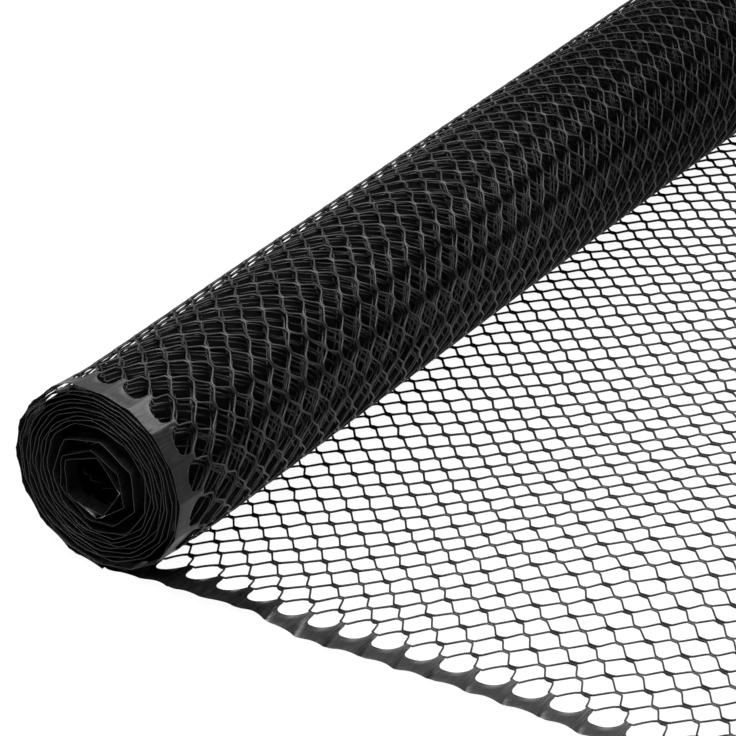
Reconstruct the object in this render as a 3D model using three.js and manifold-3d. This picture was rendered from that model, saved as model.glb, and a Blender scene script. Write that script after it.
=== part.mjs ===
// Roll of black plastic poultry netting with its loose end pulled out flat on the floor.
// Millimetres, +Z up. X runs along the roll and the loose end lies towards -Y.
// The origin is on the floor, midway along the roll, and midway between the back of the
// roll and the cut end of the netting.

import * as THREE from 'three';
import { mergeGeometries, mergeVertices } from 'three/addons/utils/BufferGeometryUtils.js';
import Module from 'manifold-3d';

// The netting: its width is the length of the roll, and the loose end is measured from
// under the middle of the roll to the cut.
const NET_WIDTH = 900;
const LOOSE_LENGTH = 430;
const NET_THICKNESS = 2;
const CLEARANCE = 0.3;

// The mesh is a honeycomb. Its short joints lie along the netting.
const MESH_ACROSS = 20;
const MESH_ALONG = 23.6;
const JOINT_LENGTH = 6;

// The gaps are cut at twice the pitch of the mesh, clear of the film edges and of the strip
// that lies under the roll. Every second row is one gap shorter.
const CUT_SCALE = 2;
const CUT_STRAND = 5;
const CUT_ROWS = 14;
const CUT_COLUMNS = 21;
const CUT_START = 66;
const CUT_UNEVEN = 1.2;

// The film edges wave a little: one lobe for each row of the mesh, and a slow drift over
// several rows.
const EDGE_LOBE = 1.2;
const EDGE_DRIFT = 0.8;
const EDGE_DRIFT_ROWS = 7;
const EDGE_STEPS = 4;

// The outermost turn is creased once for each row of the mesh, so it is a polygon, and one
// side of it is flat on the floor.
const ROLL_RADIUS = 64.9;
const ROLL_SIDES = 16;
const ROLL_UNEVEN = 0.7;

// The netting was wound looser towards the far end, so the section grows evenly along the roll,
// by this share of its size at the near end.
const ROLL_TAPER = 0.125;

// The innermost turns stand loose: the last of them is an arm with a gap round it, and the
// hollow inside it drifts down and to the back of the roll.
const CORE_OUTER = 35;
const CORE_INNER = 21;
const CORE_SIDES = 7;
const CORE_CREASES = 17;
const CORE_END_ANGLE = 95;
const CORE_DRIFT = { back: 4, down: 4.6 };
const ARM_THICKNESS = 2.2;

// The edges of the turns show at both ends of the roll as one spiral groove.
const GROOVE_TURNS = 5;
const GROOVE_WIDTH = 1.2;
const GROOVE_DEPTH = 6;
const GROOVE_MARGIN = 4;

// From the middle of a cut gap to the joint beyond its tip, and from one row of gaps to the next.
const CUT_REACH = (CUT_SCALE * (MESH_ALONG - JOINT_LENGTH)) / 2;
const CUT_ROW_PITCH = (CUT_SCALE * MESH_ALONG) / 2;

const FULL_TURN = 2 * Math.PI;
const HALF_SIDE = Math.PI / ROLL_SIDES;
const AXIS_HEIGHT = ROLL_RADIUS * Math.cos(HALF_SIDE);
const SEAT_HEIGHT = NET_THICKNESS + CLEARANCE;

// Two waves of different pace, multiplied, give unevenness that never quite repeats.
const WOBBLE = { pace: 2.3, phase: 0.7, beat: 0.9 };

// Corners nearer to each other than this are one corner.
const SAME_CORNER = 1e-4;

const netting = { color: 0x0c0c0d, roughness: 0.45, metalness: 0 };

const wasm = await Module();
wasm.setup();

function toSolid(geometry) {
  const bare = geometry.clone();
  bare.deleteAttribute('normal');
  bare.deleteAttribute('uv');
  const merged = mergeVertices(bare, SAME_CORNER);
  const mesh = new wasm.Mesh({
    numProp: 3,
    vertProperties: new Float32Array(merged.attributes.position.array),
    triVerts: new Uint32Array(merged.index.array),
  });
  return new wasm.Manifold(mesh);
}

function toGeometry(solid) {
  const mesh = solid.getMesh();
  const geometry = new THREE.BufferGeometry();
  geometry.setAttribute('position', new THREE.BufferAttribute(mesh.vertProperties, mesh.numProp));
  geometry.setIndex(new THREE.BufferAttribute(mesh.triVerts, 1));
  geometry.computeVertexNormals();
  return geometry;
}

// Repeatable unevenness between -1 and 1 for each number of a crease or corner.
function wobble(number) {
  return Math.sin(WOBBLE.pace * number + WOBBLE.phase) * Math.cos(WOBBLE.beat * number);
}

// Outline of the wound section, seen with +Y to the right and the floor at zero. It starts
// where the netting comes in from the loose end, follows the outermost turn upwards over the
// back, and ends flat on top of the loose end.
function rollOutline() {
  const outline = [new THREE.Vector2(CLEARANCE, 0)];
  const lastCrease = ROLL_SIDES - 1;
  const inwardStep = SEAT_HEIGHT / Math.cos(HALF_SIDE);
  for (let crease = 0; crease <= lastCrease; crease += 1) {
    const angle = -Math.PI / 2 + HALF_SIDE * (2 * crease + 1);
    const isFlat = crease === 0 || crease === lastCrease;
    const uneven = isFlat ? 0 : ROLL_UNEVEN * wobble(crease);
    const radius = ROLL_RADIUS - (inwardStep * crease) / lastCrease + uneven;
    outline.push(new THREE.Vector2(radius * Math.cos(angle), AXIS_HEIGHT + radius * Math.sin(angle)));
  }
  outline.push(new THREE.Vector2(CLEARANCE, SEAT_HEIGHT));
  return outline;
}

// One crease of the loose inner turns: its radius shrinks and its centre drifts as the
// netting winds inwards.
function corePoint(crease, lift) {
  const progress = crease / CORE_CREASES;
  const radius = CORE_OUTER + (CORE_INNER - CORE_OUTER) * progress + lift;
  const angle = THREE.MathUtils.degToRad(CORE_END_ANGLE)
    + ((crease - CORE_CREASES) / CORE_SIDES) * FULL_TURN;
  return new THREE.Vector2(
    CORE_DRIFT.back * progress + radius * Math.cos(angle),
    AXIS_HEIGHT - CORE_DRIFT.down * progress + radius * Math.sin(angle),
  );
}

// The hollow: once round the inner face of the wound netting, on along the inner face of the
// loose arm to its end, and back along the arm's outer face.
function coreOutline() {
  const outline = [];
  for (let crease = 0; crease <= CORE_CREASES; crease += 1) {
    outline.push(corePoint(crease, 0));
  }
  for (let crease = CORE_CREASES; crease >= CORE_SIDES; crease -= 1) {
    outline.push(corePoint(crease, ARM_THICKNESS));
  }
  return outline;
}

// The groove between the turns: a narrow band that winds inwards with the creases.
function grooveOutline() {
  const outerFace = [];
  const innerFace = [];
  const creases = GROOVE_TURNS * ROLL_SIDES;
  const first = ROLL_RADIUS - GROOVE_MARGIN;
  const last = CORE_OUTER + GROOVE_MARGIN;
  for (let crease = 0; crease <= creases; crease += 1) {
    const angle = -Math.PI / 2 + HALF_SIDE * (2 * crease + 1);
    const radius = first + ((last - first) * crease) / creases;
    const direction = new THREE.Vector2(Math.cos(angle), Math.sin(angle));
    const axis = new THREE.Vector2(0, AXIS_HEIGHT);
    outerFace.push(axis.clone().addScaledVector(direction, radius + GROOVE_WIDTH / 2));
    innerFace.unshift(axis.clone().addScaledVector(direction, radius - GROOVE_WIDTH / 2));
  }
  return [...outerFace, ...innerFace];
}

function woundRoll() {
  const section = new THREE.Shape(rollOutline());
  section.holes.push(new THREE.Path(coreOutline()));
  const wound = new THREE.ExtrudeGeometry(section, { depth: NET_WIDTH, bevelEnabled: false });
  const groove = new THREE.ExtrudeGeometry(
    new THREE.Shape(grooveOutline()),
    { depth: 2 * GROOVE_DEPTH, bevelEnabled: false },
  );
  const nearGroove = groove.clone().translate(0, 0, -GROOVE_DEPTH);
  const farGroove = groove.clone().translate(0, 0, NET_WIDTH - GROOVE_DEPTH);
  const grooves = toSolid(mergeGeometries([nearGroove, farGroove]));
  return toGeometry(toSolid(wound).subtract(grooves).warp(taper));
}

// Moves one corner of the roll, given with the section in its first two numbers and the place
// along the roll in its third. The section grows about the line where it stands on the floor.
function taper(corner) {
  const growth = 1 + (ROLL_TAPER * corner[2]) / NET_WIDTH;
  corner[0] *= growth;
  corner[1] *= growth;
}

// How far the film edge stands in from the full width, at a place along the netting.
function edgeInset(along) {
  const lobe = 0.5 - 0.5 * Math.cos((FULL_TURN * along) / MESH_ALONG);
  const drift = 0.5 + 0.5 * Math.sin((FULL_TURN * along) / (EDGE_DRIFT_ROWS * MESH_ALONG));
  return EDGE_LOBE * lobe + EDGE_DRIFT * drift;
}

// The loose end before its gaps are cut, with +X to the right and the cut end at the bottom.
function looseOutline() {
  const left = [];
  const right = [];
  const count = Math.round((EDGE_STEPS * LOOSE_LENGTH) / MESH_ALONG);
  for (let step = 0; step <= count; step += 1) {
    const along = (LOOSE_LENGTH * step) / count;
    const halfWidth = NET_WIDTH / 2 - (step === count ? 0 : edgeInset(along));
    right.push(new THREE.Vector2(halfWidth, -along));
    left.unshift(new THREE.Vector2(-halfWidth, -along));
  }
  return [...right, ...left];
}

// One gap of the mesh about its own centre: a hexagon whose upright sides are the joints.
function gapOutline(centre, seed) {
  const halfAcross = (CUT_SCALE * MESH_ACROSS - CUT_STRAND) / 2;
  const halfJoint = (CUT_SCALE * JOINT_LENGTH) / 2;
  const tip = CUT_REACH - CUT_STRAND / 2;
  const corners = [
    { across: halfAcross, along: -halfJoint },
    { across: halfAcross, along: halfJoint },
    { across: 0, along: tip },
    { across: -halfAcross, along: halfJoint },
    { across: -halfAcross, along: -halfJoint },
    { across: 0, along: -tip },
  ];
  return corners.map((corner, index) => {
    const number = seed * corners.length + index;
    return new THREE.Vector2(
      centre.x + corner.across + CUT_UNEVEN * wobble(number),
      centre.y + corner.along + CUT_UNEVEN * wobble(number + 0.5),
    );
  });
}

function gapCentres() {
  const centres = [];
  for (let row = 0; row < CUT_ROWS; row += 1) {
    const columns = CUT_COLUMNS - (row % 2);
    for (let column = 0; column < columns; column += 1) {
      const across = (column - (columns - 1) / 2) * CUT_SCALE * MESH_ACROSS;
      const along = CUT_START + CUT_REACH + row * CUT_ROW_PITCH;
      centres.push(new THREE.Vector2(across, -along));
    }
  }
  return centres;
}

function looseSheet() {
  const sheet = new THREE.ExtrudeGeometry(
    new THREE.Shape(looseOutline()),
    { depth: NET_THICKNESS, bevelEnabled: false },
  );
  const gaps = gapCentres().map((centre, index) => {
    const gap = new THREE.ExtrudeGeometry(
      new THREE.Shape(gapOutline(centre, index)),
      { depth: 3 * NET_THICKNESS, bevelEnabled: false },
    );
    return gap.translate(0, 0, -NET_THICKNESS);
  });
  return toGeometry(toSolid(sheet).subtract(toSolid(mergeGeometries(gaps))));
}

// The middle of the roll stands behind the origin, so that the whole part is centred on it.
const rollBack = (1 + ROLL_TAPER) * Math.max(...rollOutline().map((point) => point.x));
const AXIS_Y = (LOOSE_LENGTH - rollBack) / 2;

const roll = new THREE.Mesh(woundRoll(), new THREE.MeshStandardMaterial(netting));
roll.name = 'wound_roll';
roll.rotation.set(Math.PI / 2, Math.PI / 2, 0);
roll.position.set(-NET_WIDTH / 2, AXIS_Y, 0);

const sheet = new THREE.Mesh(looseSheet(), new THREE.MeshStandardMaterial(netting));
sheet.name = 'loose_end';
sheet.position.set(0, AXIS_Y, 0);

const nettingRoll = new THREE.Group();
nettingRoll.add(roll, sheet);

export default nettingRoll;
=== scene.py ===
"""Black poultry netting wound up on itself, with its loose end pulled out flat over the floor.

The netting is a honeycomb of zigzag strands between two film edges. Every piece lays out the same
netting. A place on it is given by its distance across, along X, and by its row, counted in mesh pitches
along the netting from the crease under the middle of the roll. Rows below nought lie on the floor, rows
above nought wind inwards. Sizes are in millimetres, and the meshes are put into Blender in metres.
"""

import math

import bpy
import numpy as np
from mathutils import Matrix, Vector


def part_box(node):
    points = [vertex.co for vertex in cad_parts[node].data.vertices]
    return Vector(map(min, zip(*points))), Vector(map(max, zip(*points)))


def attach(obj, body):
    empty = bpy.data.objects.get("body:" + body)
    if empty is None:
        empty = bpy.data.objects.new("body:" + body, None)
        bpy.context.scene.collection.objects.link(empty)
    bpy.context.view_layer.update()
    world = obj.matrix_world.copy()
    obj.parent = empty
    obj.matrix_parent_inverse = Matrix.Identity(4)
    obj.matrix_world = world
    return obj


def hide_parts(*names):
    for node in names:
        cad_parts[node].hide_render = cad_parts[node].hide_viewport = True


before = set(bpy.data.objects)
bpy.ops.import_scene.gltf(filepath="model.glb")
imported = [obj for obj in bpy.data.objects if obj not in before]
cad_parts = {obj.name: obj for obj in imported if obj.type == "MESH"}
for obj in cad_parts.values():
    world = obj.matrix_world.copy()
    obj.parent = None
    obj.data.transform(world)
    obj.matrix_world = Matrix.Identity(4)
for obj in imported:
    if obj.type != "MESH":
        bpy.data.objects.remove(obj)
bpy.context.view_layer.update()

MM = 0.001

LOOSE_LOW, LOOSE_HIGH = (np.array(corner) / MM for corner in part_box("loose_end"))
HALF_WIDTH = LOOSE_HIGH[0]
AXIS_Y = LOOSE_HIGH[1]
LOOSE_LENGTH = LOOSE_HIGH[1] - LOOSE_LOW[1]

# The mesh: joints stand in columns along the netting, every second column half a row further on.
ROW_PITCH = 23.6
COLUMNS = 83
STRANDS = np.arange(COLUMNS + 1)[:, None]
AT_NEAR_FILM = STRANDS == 0
AT_FAR_FILM = STRANDS == COLUMNS
FIRST_COLUMN_IN = 41.8
COLUMN_PITCH = 2 * (HALF_WIDTH - FIRST_COLUMN_IN) / (COLUMNS - 1)
HEAVY_JOINT_LENGTH = 5.0
LIGHT_JOINT_LENGTH = 4.0
SPUR_TOP_LENGTH = 6.0
SPUR_SLANT = 0.9

# Towards the film edges the mesh is drawn outwards, and its rows lead towards the roll.
EDGE_DRAW = 3.2
EDGE_DRAW_FADE = 0.75
ROW_LEAD = 0.36
ROW_LEAD_COLUMNS = 1.9

# How far a strand's crossing is eased: by the roll, and how much more at the cut end. The crossings at
# the film spurs follow a power.
EASED_BY_ROLL = 0.15
EASED_MORE = 0.35
SPUR_POWER = 1.4

# Half sizes of the strands, between the joints and at the two kinds of joint. In a pair of widths the
# first one is for strands that go to the far end as they near the roll, and the second for those that
# go back. On the floor the far pair takes over, starting this far from the near end and over this way.
STRAND_HALF_WIDTH = (0.66, 0.80)
FAR_STRAND_HALF_WIDTH = (0.84, 0.68)
FAR_STRAND_FROM = 80.0
FAR_STRAND_OVER = 320.0
STRAND_HALF_HEIGHT = 0.70
HEAVY_JOINT_HALF_WIDTH = 1.12
HEAVY_JOINT_HALF_HEIGHT = 0.90
LIGHT_JOINT_HALF_WIDTH = 0.92
LIGHT_JOINT_HALF_HEIGHT = 0.66
HEAVY_JOINT_APART = 0.92
LIGHT_JOINT_APART = 0.66
JOINT_REACH = 0.36
JOINT_FADE = 0.17

# Strands are thickest just in front of the roll and thinnest near the cut end, and on the floor they
# get thicker from the near end to the far end: shares of the sizes above.
THICK_BY_ROLL = 1.14
THIN_AT_CUT = 0.96
THICKER_MIDDLE = 0.07
THICKER_ROWS = (-9.0, 3.0)
THICK_FROM = (100.0, 250.0, 480.0, 650.0, 800.0)
THICK_ACROSS = (0.9, 1.0, 1.06, 1.18, 1.25)
THIN_ON_ROLL = 0.92
THIN_BELOW = 0.78

# Tones of the strands, below nought where they are dull and dark, and above nought where they are
# light. The light joints are lighter partly from scuffing and partly as a painted sheen, and the heavy
# joints are painted shade. On the roll a band along its front has a painted sheen, and its far part
# painted shade.
LIGHT_JOINT_TONE = 0.6
HEAVY_JOINT_TONE = -0.9
ROLL_PAINTED_SHEEN_TONE = 0.3
ROLL_PAINTED_SHEEN_AROUND = (0.81, 0.08)
ROLL_FAR_PAINTED_SHADE = -0.8

# Unevenness of the mesh, and the arch of the strands that go back to the near end: on the roll, and
# shares of it on the floor.
JOINT_SHIFT_ACROSS = 0.40
JOINT_SHIFT_ALONG = 0.45
STRAND_BOW = 0.35
STRAND_ARCH = 0.9
FLOOR_ARCHED = 0.5
SPUR_ARCHED = 2.0

# The film edge: how far in its outer rim, the bottoms of its holes and the tops of its spurs stand,
# first on the floor and then on the roll, where the netting is wound a little further out.
FILM_RIM_IN = (0.6, -0.6)
FILM_BOTTOM_IN = (15.8, 11.4)
FILM_PEAK_IN = (27.8, 21.3)
WOUND_OUT = FILM_PEAK_IN[0] - FILM_PEAK_IN[1]
WOUND_OUT_REACH = 400.0

# The holes of the film edge: half their length in rows, how far past its middle a hole is deepest, and
# how boxy it is. The last two are given away from the roll and just in front of it.
FILM_HOLE_HALF = 0.405
FILM_HOLE_SKEW = (0.38, 0.5)
FILM_HOLE_POWER = (3.0, 2.5)

# The film edges inside the roll: how much further out the bottoms of their holes are, and how high the
# spurs stand over them.
COVERED_OUT = 1.0
COVERED_SPUR = 3.5

# The film's thickness, the bead at its inner rim, the lobes of its outer rim and the creases between
# them.
FILM_SHARES = np.array([0.0, 0.03, 0.3, 0.6, 0.85, 0.95, 1.0])[None, :]
FILM_HALF_THICKNESS = 0.17
RIM_BEAD = 0.32
FILM_LOBE = 3.4
FILM_LOBE_ON_ROLL = 0.25
FILM_LOBE_SHIFT = 0.25
FILM_RIDGE = 0.2
FILM_CREASE = 1.2
FILM_CREASE_HALF = 0.08
FILM_CREASE_RUN = 22.0

# How the film's rims wander on the floor: lines between a few rows, and bells given by size, row and
# spread.
FILM_WANDER_ROWS = (-17.4, -12.5, -12.4, -7.5)
FILM_WANDER = (0.0, 2.94, 2.94, 0.0)
FILM_WANDER_BELLS = ((-2.4, -6.9, 0.9), (1.8, -4.6, 0.8), (-4.2, -2.1, 1.2))

# Tones of the film: painted highlights and painted shade along its creases on the floor, painted light
# and shade along the roll, and painted shade in the roll's shadow on the floor.
FILM_CREASE_LIGHT_ROWS = (-11.0, -10.0, -7.0, -6.0, -5.0, -4.0)
FILM_CREASE_LIGHT_AND_SHADE = (0.45, -0.7, -0.7, 0.6, 0.9, 0.0)
ROLL_FILM_ROWS = (7.0, 9.0, 9.95, 10.0, 10.2, 10.5, 10.95, 11.0, 11.5, 12.9, 13.0, 14.0, 15.0)
ROLL_FILM_LIGHT_AND_SHADE = (0.0, 0.02, 0.0, 0.14, 0.08, 0.06, 0.14, -0.3, -0.1, -0.2, 0.08, 0.06, 0.0)
FILM_SHADE = 1.6

# Places drawn along the netting: shares of half a row for strands, from joint to joint, and of a row
# for film.
FINE_STEPS = np.array([0.0, 0.19, 0.3, 0.5, 0.7, 0.81])
LOOSE_STEPS = np.array([0.0, 0.19, 0.31, 0.69, 0.81])
LOOSE_EDGE_STEPS = np.array([0.0, 0.24, 0.41, 0.59, 0.76])
PLAIN_STEPS = np.array([0.12, 0.5, 0.88])
COARSE_STEPS = np.array([0.12, 0.88])
LEAD_IN_STEPS = np.array([0.0, 0.35, 0.7])
ROLL_FILM_STEPS = np.array(
    [0.0, 0.05, 0.095, 0.1, 0.13, 0.18, 0.26, 0.4, 0.6, 0.76, 0.85, 0.89, 0.9, 0.905, 0.95]
)
LOOSE_FILM_EXTRA = np.array([0.33, 0.5, 0.67, 0.71, 0.735, 0.785, 0.81, 0.83, 0.87, 0.93, 0.97])
LOOSE_FILM_STEPS = np.sort(np.append(ROLL_FILM_STEPS, LOOSE_FILM_EXTRA))

# The wound section, at a number of turns: the radius of the netting's middle, and how far back and down
# the middle of the winding has drifted.
SPIRAL_TURNS = (0.0, 0.2, 0.45, 0.65, 0.85, 1.0, 1.35, 1.75, 1.88, 2.0, 2.4, 3.0, 10.4, 11.4, 12.4, 13.5)
SPIRAL_RADII = (
    63.2, 63.0, 62.3, 62.3, 62.8, 61.4, 60.2, 60.6, 62.1, 60.4, 58.2, 56.2, 36.6, 31.0, 24.3, 20.3
)
DRIFT_TURNS = (3.0, 10.4, 11.4, 12.4, 13.5)
DRIFT_BACK = (0.0, 0.0, 3.0, 5.0, 4.0)
DRIFT_DOWN = (0.0, 0.8, 3.5, 6.0, 5.8)
FLOOR_GAP = 0.95
AXIS_Z = SPIRAL_RADII[0] + FLOOR_GAP
TURN_STRETCH = math.radians(10.0)
TURN_DELAY = math.radians(5.0)

# The roll grows towards the far end, by this share of its size at the near end, and it lies a little
# askew: how far it stands back, at distances from the near end.
ROLL_TAPER = 0.138
ASKEW_FROM = (0.0, 45.0, 450.0, 900.0)
ASKEW_BACK = (1.6, -1.9, -2.8, -5.2)

# The innermost creases as they lie at the near end, in the order they are wound: how far behind the
# roll's axis each one is, and how high.
INNER_CREASES = np.array(
    [
        (34.9, 60.0), (24.4, 85.5), (-3.6, 91.7), (-25.9, 77.0), (-27.6, 50.0), (-10.6, 34.5),
        (10.4, 34.0), (29.8, 51.0), (26.4, 73.5), (3.9, 83.9), (-15.4, 73.0), (-19.8, 50.5),
        (2.9, 35.5), (25.0, 47.5), (23.9, 71.5), (-1.1, 80.2), (-17.0, 60.0), (-3.1, 39.5),
        (16.4, 43.5),
    ]
)
INNER_MIDDLE = np.array([1.4, 62.0])
INNER_TURN = 10.233
CREASE_SHIFT = 0.45
CREASE_SHIFT_MOST = 0.9

# How round a row lies between two creases: near the film edges at a number of turns, and away from the
# edges. Below nought it is drawn in.
ROUND_TURNS = (0.35, 0.45, 0.9, 1.6, 9.6, 10.8)
ROUND_AT_EDGE = (-0.30, 0.20, 0.20, 0.35, 0.30, 0.06)
ROUND_IN_MIDDLE = 0.75
ROUND_REACH = 70.0

# How far the outermost turn stands off the winding where it is slack, and how far its film edge gapes:
# on the whole, and more at one corner. Places are middles and spreads in turns.
SLACK = 0.5
SLACK_TURN = (0.45, 0.4)
GAPE = 0.6
GAPE_AT_CORNER = 2.6
GAPE_CORNER_TURN = (0.455, 0.045)
GAPE_REACH = 25.0

# How the turns below the outermost one have settled under it, turn by turn: the share of the way that
# their joints have come to its joints, and how many rows further round they lie.
SETTLED_SHARE = np.array([0.0, 1.0, 1.0, 0.9, 0.7, 0.0])
SETTLED_ROUND = np.array([0.0, 0.06, 0.14, 0.22, 0.30, 0.0])
SETTLED_UNEVEN = 0.05
SETTLED_AT = 0.626
SETTLED_SEAM = 0.12
SETTLED_LESS = 0.7
SETTLED_LESS_FROM = 330.0
SETTLED_LESS_OVER = 250.0

# The loose end over the floor: a low swell, a rise in front of the roll that is higher at the far end,
# and a film edge that is lifted by the roll. Places are middles and spreads, from the near end and in
# rows.
SWELL = 5.0
SWELL_FROM = (270.0, 170.0)
SWELL_ROWS = (-14.0, 3.2)
RISE = 1.5
RISE_MORE = 5.0
RISE_ROWS = (-2.4, 2.0)
EDGE_LIFT = 3.6
EDGE_LIFT_REACH = 32.0

# How far the loose end is drawn out of square: bells on a grid of places, in distance from the near end
# and from the roll's axis, with the height of each bell for the drawing across and along.
DRAWN_ACROSS_FROM = np.array([50.0, 200.0, 350.0, 500.0, 650.0, 800.0])
DRAWN_ALONG_FROM = np.array([-30.0, -120.0, -210.0, -300.0, -390.0])
DRAWN_SPREAD = 125.0
DRAWN_ACROSS = np.array(
    [
        (-0.6, 0.1, -1.8, 2.8, -6.2),
        (3.0, -5.7, -0.1, 11.0, -3.2),
        (2.6, -4.2, -4.5, 4.0, 1.9),
        (0.1, 2.2, -1.2, -2.8, -0.6),
        (-0.1, -0.9, 1.2, 0.5, 0.0),
        (3.2, 0.4, -0.3, -0.1, 0.0),
    ]
)
DRAWN_ALONG = np.array(
    [
        (-0.9, -0.4, 5.3, 2.2, -4.7),
        (0.0, -5.4, 4.7, 2.3, -7.7),
        (-0.5, -2.4, 1.8, -1.1, -2.8),
        (2.1, 1.0, 2.2, -0.5, -0.6),
        (2.7, 0.1, 2.3, 1.4, 0.2),
        (-2.2, -3.6, -1.6, -0.2, 0.0),
    ]
)

# The packed turns: their radii, how far short of each end they stop, where they are pressed outwards,
# as size, angle and spread in degrees, and how much more so at the ends.
PACKED_OUTER = 50.0
PACKED_INNER = 38.5
PACKED_SHORT = 7.0
PACKED_PRESSED = ((10.4, 227.0, 36.0), (8.4, 58.0, 46.0))
PACKED_END_PRESSED = (1.3, 227.0, 30.0)
PACKED_END_REACH = 12.0

# How far along the netting each turn lies: the length of the winding is tabulated in small steps.
WOUND_TURN = np.linspace(0.0, SPIRAL_TURNS[-1], 4001)
WOUND_RADIUS = np.interp(WOUND_TURN, SPIRAL_TURNS, SPIRAL_RADII)
STEP_LENGTH = math.pi * (WOUND_RADIUS[1:] + WOUND_RADIUS[:-1]) * np.diff(WOUND_TURN)
WOUND_LENGTH = np.concatenate([[0.0], np.cumsum(STEP_LENGTH)])
FIRST_INNER_ROW = round(np.interp(INNER_TURN, WOUND_TURN, WOUND_LENGTH) / ROW_PITCH)
LAST_ROW = FIRST_INNER_ROW + len(INNER_CREASES) - 1
CUT_ROW = -LOOSE_LENGTH / ROW_PITCH
CUT_MARGIN = 0.02

# One table of uneven places for the whole netting, so that strands meet from piece to piece.
FIRST_HALF_ROW = 2 * math.floor(CUT_ROW) - 4
HALF_ROWS = 2 * LAST_ROW + 8 - FIRST_HALF_ROW
RANDOM = np.random.default_rng(7)
JOINT_SHIFTS = RANDOM.normal(0.0, 1.0, (COLUMNS + 2, HALF_ROWS, 2))
JOINT_SHIFTS *= [JOINT_SHIFT_ACROSS, JOINT_SHIFT_ALONG]
JOINT_SHIFTS[[0, -1]] = 0.0
STRAND_BOWS = RANDOM.normal(0.0, STRAND_BOW, (COLUMNS + 1, HALF_ROWS))
CREASE_SHIFTS = RANDOM.normal(0.0, CREASE_SHIFT, FIRST_INNER_ROW)
CREASE_SHIFTS = np.clip(CREASE_SHIFTS, -CREASE_SHIFT_MOST, CREASE_SHIFT_MOST)


def ease(share):
    """Smooth step: three squares less two cubes of the share, which is held between nought and one."""
    share = np.clip(share, 0.0, 1.0)
    return share * share * (3.0 - 2.0 * share)


def bell(value, middle, spread):
    """A bell curve of height one about its middle."""
    return np.exp(-(((value - middle) / spread) ** 2))


def blend(first, second, share):
    """The first value and a share of the way from it to the second one."""
    return first + (second - first) * share


def from_near_end(across):
    """Distance from the near end of the netting."""
    return across + HALF_WIDTH


def from_edge(across):
    """Distance from the nearer film edge of the netting."""
    return HALF_WIDTH - np.abs(across)


# The way the netting lies


def turn_at(row):
    """Number of turns from the crease under the roll, read back from the tabulated length of the
    winding."""
    return np.interp(row * ROW_PITCH, WOUND_LENGTH, WOUND_TURN)


def row_at(turn):
    """Row that lies at a number of turns."""
    return np.interp(turn, WOUND_TURN, WOUND_LENGTH) / ROW_PITCH


def wound_angle(turn):
    """Angle about the roll's axis, from the back upwards. The netting is drawn tighter in one place
    than in another, so the angle swings ahead and lags once a turn."""
    around = 2 * math.pi * turn
    lag = 0.5 - 0.5 * np.cos(around)
    return -math.pi / 2 + around + TURN_STRETCH * np.sin(around) - TURN_DELAY * lag


def creases():
    """The angle, the radius and the middle, as Y and Z, that the winding has at every crease: a
    spiral of uneven turns whose middle drifts, and then the innermost creases."""
    turn = turn_at(np.arange(FIRST_INNER_ROW))
    radius = np.interp(turn, SPIRAL_TURNS, SPIRAL_RADII)
    back, down = (np.interp(turn, DRIFT_TURNS, drift) for drift in (DRIFT_BACK, DRIFT_DOWN))
    uneven = ease((turn - 1.0) / 0.3) + 0.8 * ease((turn - 0.1) / 0.06) * ease((0.42 - turn) / 0.05)
    radius = radius + CREASE_SHIFTS * uneven
    middle = np.stack([AXIS_Y + back, AXIS_Z - down], axis=-1)
    from_middle = INNER_CREASES - INNER_MIDDLE
    inner_angle = np.unwrap(np.arctan2(from_middle[:, 1], from_middle[:, 0]))
    turned = wound_angle(turn_at(FIRST_INNER_ROW)) - inner_angle[0]
    inner_angle += 2 * math.pi * round(turned / (2 * math.pi))
    inner_middle = np.broadcast_to(INNER_MIDDLE + [AXIS_Y, 0.0], INNER_CREASES.shape)
    return (
        np.concatenate([wound_angle(turn), inner_angle]),
        np.concatenate([radius, np.hypot(*from_middle.T)]),
        np.concatenate([middle, inner_middle]),
    )


CREASE_ANGLE, CREASE_RADIUS, CREASE_MIDDLE = creases()


def between_creases(row, values):
    """Values at the creases, drawn straight from each crease to the next."""
    return np.interp(row, np.arange(LAST_ROW + 1), values)


def wound_place(row):
    """Place in the section, as Y and Z, on the round spiral: its middle plus its radius, both drawn
    from crease to crease."""
    angle, radius = between_creases(row, CREASE_ANGLE), between_creases(row, CREASE_RADIUS)
    y = between_creases(row, CREASE_MIDDLE[:, 0]) + radius * np.cos(angle)
    z = between_creases(row, CREASE_MIDDLE[:, 1]) + radius * np.sin(angle)
    return np.stack([y, z], axis=-1)


def askew(across):
    """How far the roll stands back at a distance across: straight lines between the few places
    given."""
    return np.interp(from_near_end(across), ASKEW_FROM, ASKEW_BACK)


def tapered(across, section):
    """The section, as Y and Z, grown about the line where the roll stands on the floor, by the
    taper's share of the way from the near end to the far one, and moved back as far as the roll lies
    askew."""
    growth = 1.0 + ROLL_TAPER * from_near_end(across) / (2 * HALF_WIDTH)
    foot = np.array([AXIS_Y, FLOOR_GAP])
    moved = askew(across)[..., None] * np.array([1.0, 0.0])
    return foot + growth[..., None] * (section - foot) + moved


def drawn(across, row):
    """How far the loose end is drawn across and along: two sums of bells, faded out under the roll,
    where it follows the roll instead."""
    bells_across = bell(from_near_end(across)[..., None], DRAWN_ACROSS_FROM, DRAWN_SPREAD)
    bells_along = bell((row * ROW_PITCH)[..., None], DRAWN_ALONG_FROM, DRAWN_SPREAD)
    fade = ease(-row / 1.2)
    moved_across = np.einsum("...i,ij,...j->...", bells_across, DRAWN_ACROSS, bells_along)
    moved_along = np.einsum("...i,ij,...j->...", bells_across, DRAWN_ALONG, bells_along)
    return fade * moved_across, fade * moved_along + (1.0 - fade) * askew(across)


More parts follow.
